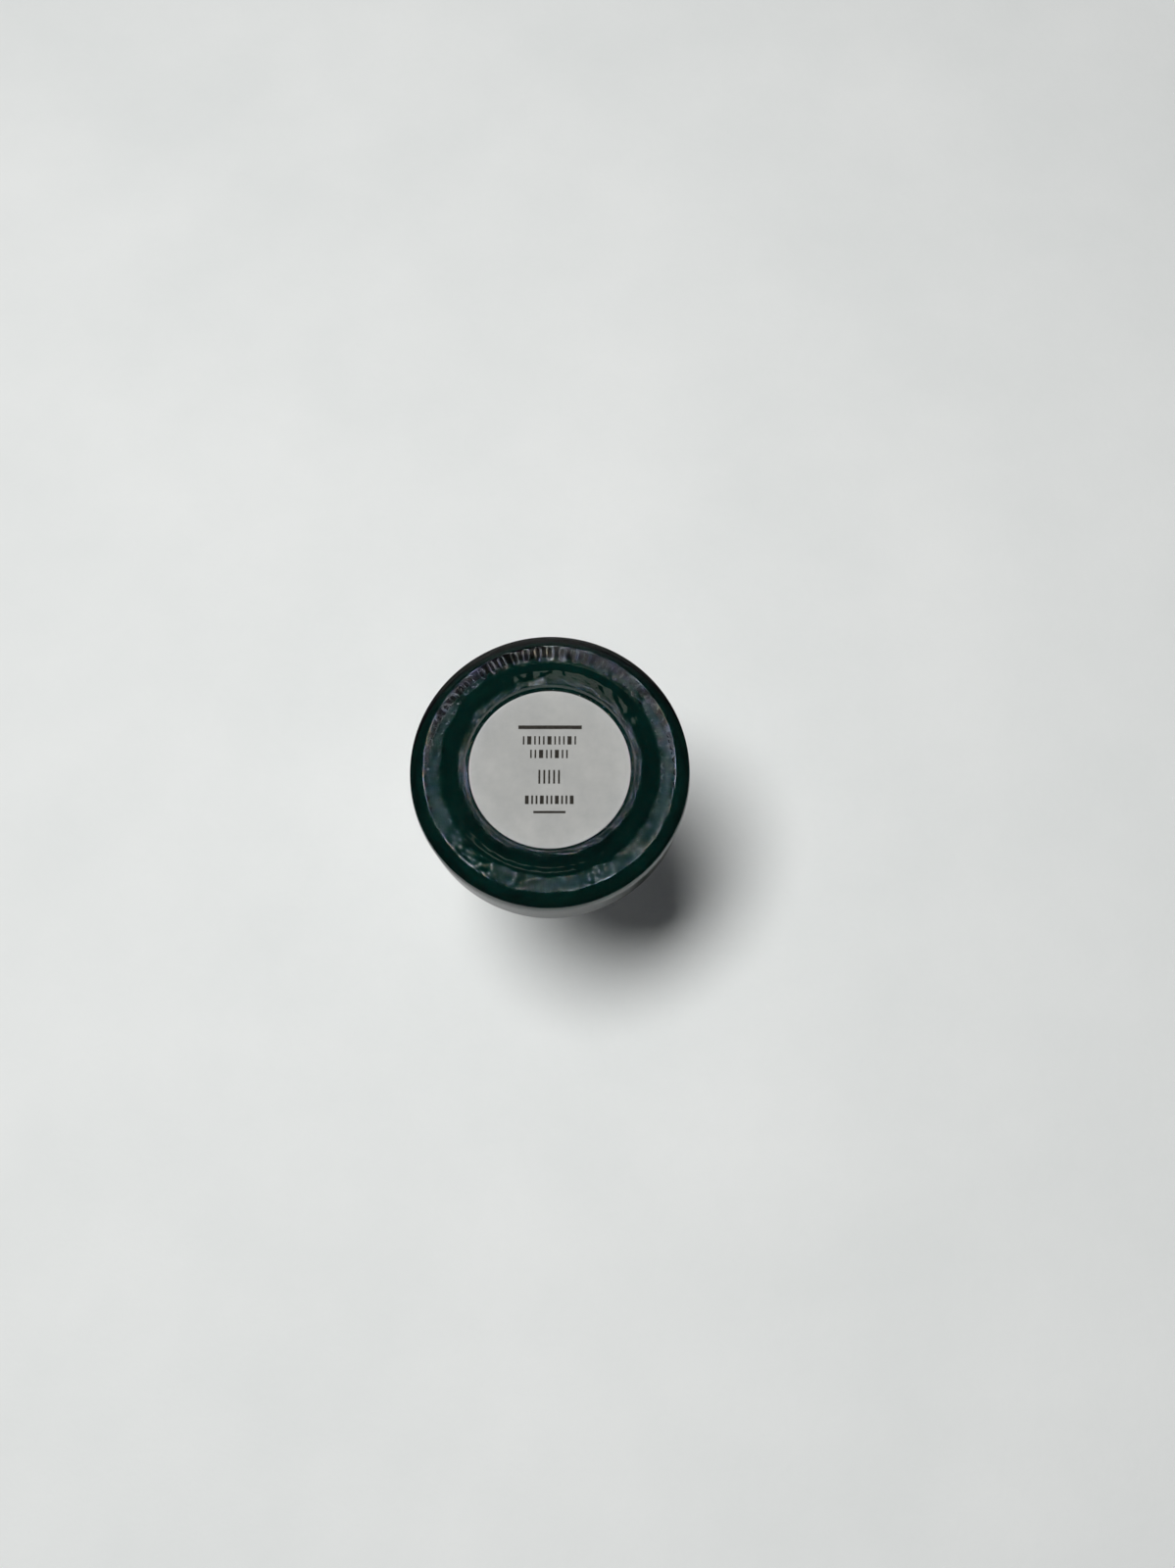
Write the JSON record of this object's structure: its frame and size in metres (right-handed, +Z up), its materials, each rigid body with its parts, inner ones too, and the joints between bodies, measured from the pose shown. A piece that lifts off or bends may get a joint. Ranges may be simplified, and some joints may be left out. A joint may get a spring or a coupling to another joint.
{
  "type": "nail polish bottle",
  "caption": "Squat round glass bottle of dark green nail polish, with a knurled base, a base label and a tall screw cap that carries the brush.",
  "frame": {"origin": "centre of the plane that the bottle's knurled foot rests on", "axes": "+Z up along the bottle's axis, towards the cap; +X through one knurl"},
  "size_m": [0.03, 0.03, 0.05],
  "materials": {
    "clear_glass": "clear, polished, with a knurled foot",
    "green_polish": "opaque very dark green liquid, glossy",
    "label_paper": "satin silver-grey, slightly mottled",
    "ball_steel": "polished",
    "liner_plastic": "soft foamed",
    "stem_plastic": "satin",
    "bristle_nylon": "satin filaments",
    "staple_brass": "drawn",
    "inner_cap_plastic": "moulded",
    "cap_plastic": "satin pearl"
  },
  "bodies": {
    "bottle": {"glass_bottle": "clear_glass", "polish": "green_polish", "base_label": "label_paper", "mixing_balls": "ball_steel"},
    "staple": {"bristle_staple": "staple_brass"},
    "liner": {"sealing_liner": "liner_plastic"},
    "cap_and_brush": {"outer_cap": "cap_plastic", "inner_cap": "inner_cap_plastic", "brush_stem": "stem_plastic", "bristles": "bristle_nylon"}
  },
  "joints": [
    {"name": "cap_lift", "type": "slide", "parent": "bottle", "child": "staple", "axis": [0, 0, 1], "range_m": [0, 0.04]},
    {"name": "cap_rise", "type": "slide", "parent": "staple", "child": "liner", "axis": [0, 0, 1], "range_m": [0, 0.0032]},
    {"name": "cap_twist", "type": "hinge", "parent": "liner", "child": "cap_and_brush", "pos_m": [0, 0, 0.0313], "axis": [0, 0, 1], "range_deg": [0, 540]}
  ],
  "couplings": [
    {"joint": "cap_rise", "follows": "cap_twist", "m_per_rad": 0.00033741}
  ]
}
